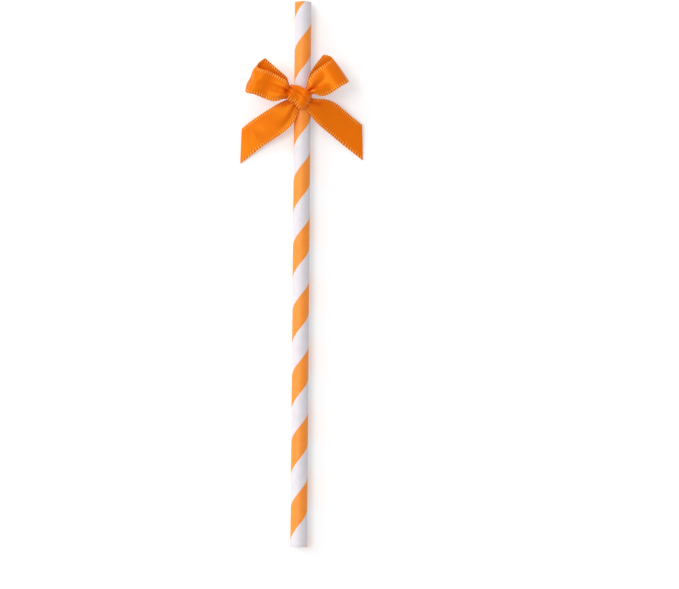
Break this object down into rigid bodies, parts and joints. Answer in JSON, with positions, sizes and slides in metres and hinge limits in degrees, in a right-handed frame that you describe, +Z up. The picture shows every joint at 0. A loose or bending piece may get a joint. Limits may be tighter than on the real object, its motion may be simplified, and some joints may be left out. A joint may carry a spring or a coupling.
{
  "type": "paper drinking straw",
  "caption": "Spiral-striped paper drinking straw with a satin ribbon tied round it in a bow near the mouth end.",
  "frame": {"origin": "bottom centre of the straw's box as it lies: on the surface under the middle of the tube's length", "axes": "+Y along the tube to the mouth end, where the bow is; +Z up, through the knot; +X to the right with the mouth end pointing away"},
  "size_m": [0.0445, 0.197, 0.0127],
  "materials": {
    "striped_paper": "smooth white paper with printed orange spiral stripes",
    "satin_ribbon": "orange woven polyester satin"
  },
  "bodies": {
    "root": {"paper_tube": "striped_paper", "ribbon_bow": "satin_ribbon"}
  },
  "joints": []
}
